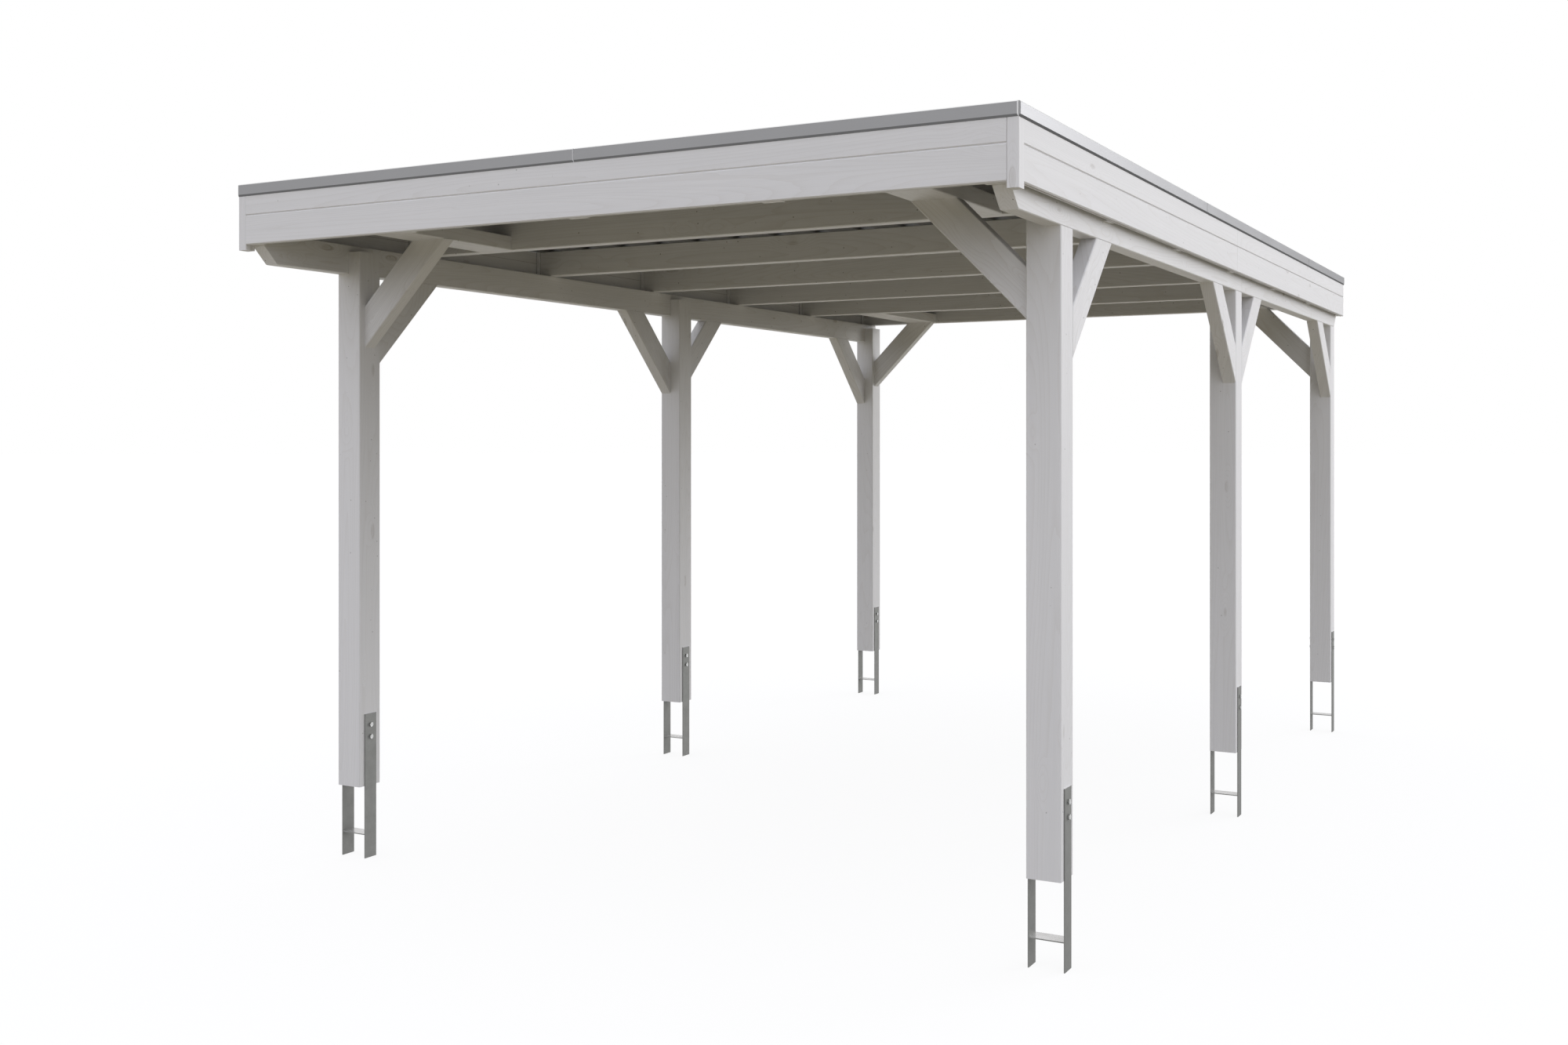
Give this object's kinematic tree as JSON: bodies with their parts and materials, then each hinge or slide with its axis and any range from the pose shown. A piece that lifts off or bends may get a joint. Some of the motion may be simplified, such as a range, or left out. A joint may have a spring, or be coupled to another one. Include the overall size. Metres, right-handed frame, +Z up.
{
  "type": "timber carport",
  "caption": "Open flat-roofed carport of white-lacquered timber: posts on H-anchors, braced purlins and rafters, a ribbed sheet roof and a boarded fascia with metal edge caps.",
  "frame": {"origin": "under the middle of the roof outline, at the level of the anchors' lower tips", "axes": "+Y along the length from the fascia front to the open rear edge, +X to the right seen from the front, +Z up"},
  "size_m": [3.243, 5.594, 2.7375],
  "materials": {
    "lacquered_timber": "satin white lacquer over spruce",
    "lacquered_boards": "satin white lacquer over spruce boards",
    "galvanised_steel": "hot-dip galvanised, matt",
    "cap_aluminium": "satin mill finish",
    "roof_metal": "matt coil-coated sheet"
  },
  "bodies": {
    "root": {"post_front_left": "lacquered_timber", "post_front_right": "lacquered_timber", "post_middle_left": "lacquered_timber", "post_middle_right": "lacquered_timber", "post_rear_left": "lacquered_timber", "post_rear_right": "lacquered_timber", "anchor_front_left": "galvanised_steel", "anchor_front_right": "galvanised_steel", "anchor_middle_left": "galvanised_steel", "anchor_middle_right": "galvanised_steel", "anchor_rear_left": "galvanised_steel", "anchor_rear_right": "galvanised_steel", "purlin_left_front": "lacquered_timber", "purlin_left_rear": "lacquered_timber", "purlin_right_front": "lacquered_timber", "purlin_right_rear": "lacquered_timber", "side_braces_left": "lacquered_timber", "side_braces_right": "lacquered_timber", "cross_braces_front": "lacquered_timber", "cross_braces_rear": "lacquered_timber", "rafter_1": "lacquered_timber", "rafter_2": "lacquered_timber", "rafter_3": "lacquered_timber", "rafter_4": "lacquered_timber", "rafter_5": "lacquered_timber", "rafter_6": "lacquered_timber", "rafter_7": "lacquered_timber", "trimmers_front": "lacquered_timber", "trimmers_rear": "lacquered_timber", "fascia_cleats_front": "lacquered_timber", "fascia_cleats_left": "lacquered_timber", "fascia_cleats_right": "lacquered_timber", "fascia_front_lower": "lacquered_boards", "fascia_front_upper": "lacquered_boards", "fascia_left_lower": "lacquered_boards", "fascia_left_upper": "lacquered_boards", "fascia_right_lower": "lacquered_boards", "fascia_right_upper": "lacquered_boards", "fascia_corner_left": "lacquered_boards", "fascia_corner_right": "lacquered_boards", "edge_cap_front": "cap_aluminium", "edge_cap_left": "cap_aluminium", "edge_cap_right": "cap_aluminium", "roof_sheet": "roof_metal"}
  },
  "joints": []
}
